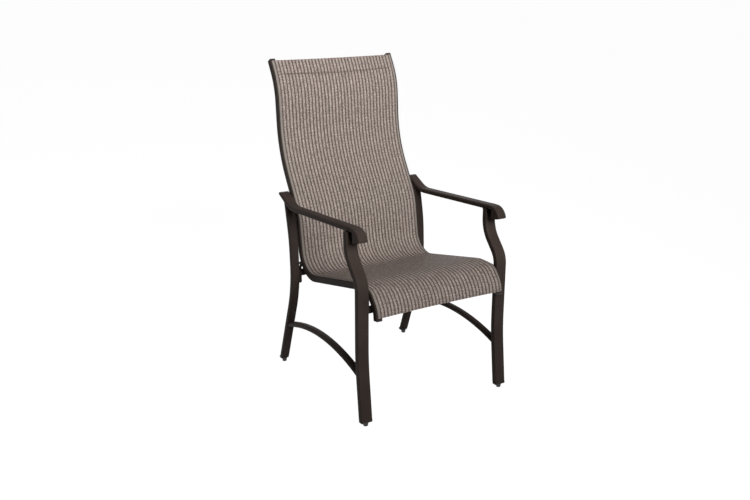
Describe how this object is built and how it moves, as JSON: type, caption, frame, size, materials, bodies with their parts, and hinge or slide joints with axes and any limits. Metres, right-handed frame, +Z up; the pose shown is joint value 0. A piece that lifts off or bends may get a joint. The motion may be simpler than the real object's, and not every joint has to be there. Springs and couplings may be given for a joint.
{
  "type": "sling patio chair",
  "caption": "High-backed outdoor armchair: tubular frame with arched side stretchers and curled armrests, striped woven sling held between two contoured rails.",
  "frame": {"origin": "centre of the bounding box on the floor, between the four feet", "axes": "+Z up, the height of the chair; the sitter faces -Y; +X is the sitter's left"},
  "size_m": [0.584, 0.737, 1.1183],
  "materials": {
    "frame": "dark bronze powder coat, satin",
    "plastic": "dark moulded plastic, matte",
    "hardware": "black zinc plated steel",
    "sling": "open weave of coated yarn, taupe and brown lengthwise stripes"
  },
  "bodies": {
    "root": {"left_front_leg": "frame", "right_front_leg": "frame", "left_rear_leg": "frame", "right_rear_leg": "frame", "left_front_glide": "plastic", "right_front_glide": "plastic", "left_rear_glide": "plastic", "right_rear_glide": "plastic", "left_side_stretcher": "frame", "right_side_stretcher": "frame", "left_armrest": "frame", "right_armrest": "frame", "left_armrest_tail_plug": "plastic", "right_armrest_tail_plug": "plastic", "left_arm_scroll": "frame", "right_arm_scroll": "frame", "left_sling_rail": "frame", "right_sling_rail": "frame", "left_rail_bottom_cap": "plastic", "right_rail_bottom_cap": "plastic", "left_rail_top_cap": "plastic", "right_rail_top_cap": "plastic", "sling": "sling", "left_spline_rod": "plastic", "right_spline_rod": "plastic", "front_crossbar": "frame", "rear_crossbar": "frame", "back_spreader": "frame", "seat_spreader": "frame", "left_front_rail_tab": "frame", "right_front_rail_tab": "frame", "left_rear_rail_tab": "frame", "right_rear_rail_tab": "frame", "left_rear_crossbar_gusset": "frame", "right_rear_crossbar_gusset": "frame", "left_back_rail_spacer": "plastic", "right_back_rail_spacer": "plastic", "left_front_leg_insert": "hardware", "right_front_leg_insert": "hardware", "left_back_leg_insert": "hardware", "right_back_leg_insert": "hardware", "left_rear_rail_nut": "hardware", "right_rear_rail_nut": "hardware", "left_front_rail_bolt": "hardware", "right_front_rail_bolt": "hardware", "left_rear_rail_bolt": "hardware", "right_rear_rail_bolt": "hardware", "left_back_rail_bolt": "hardware", "right_back_rail_bolt": "hardware"}
  },
  "joints": []
}
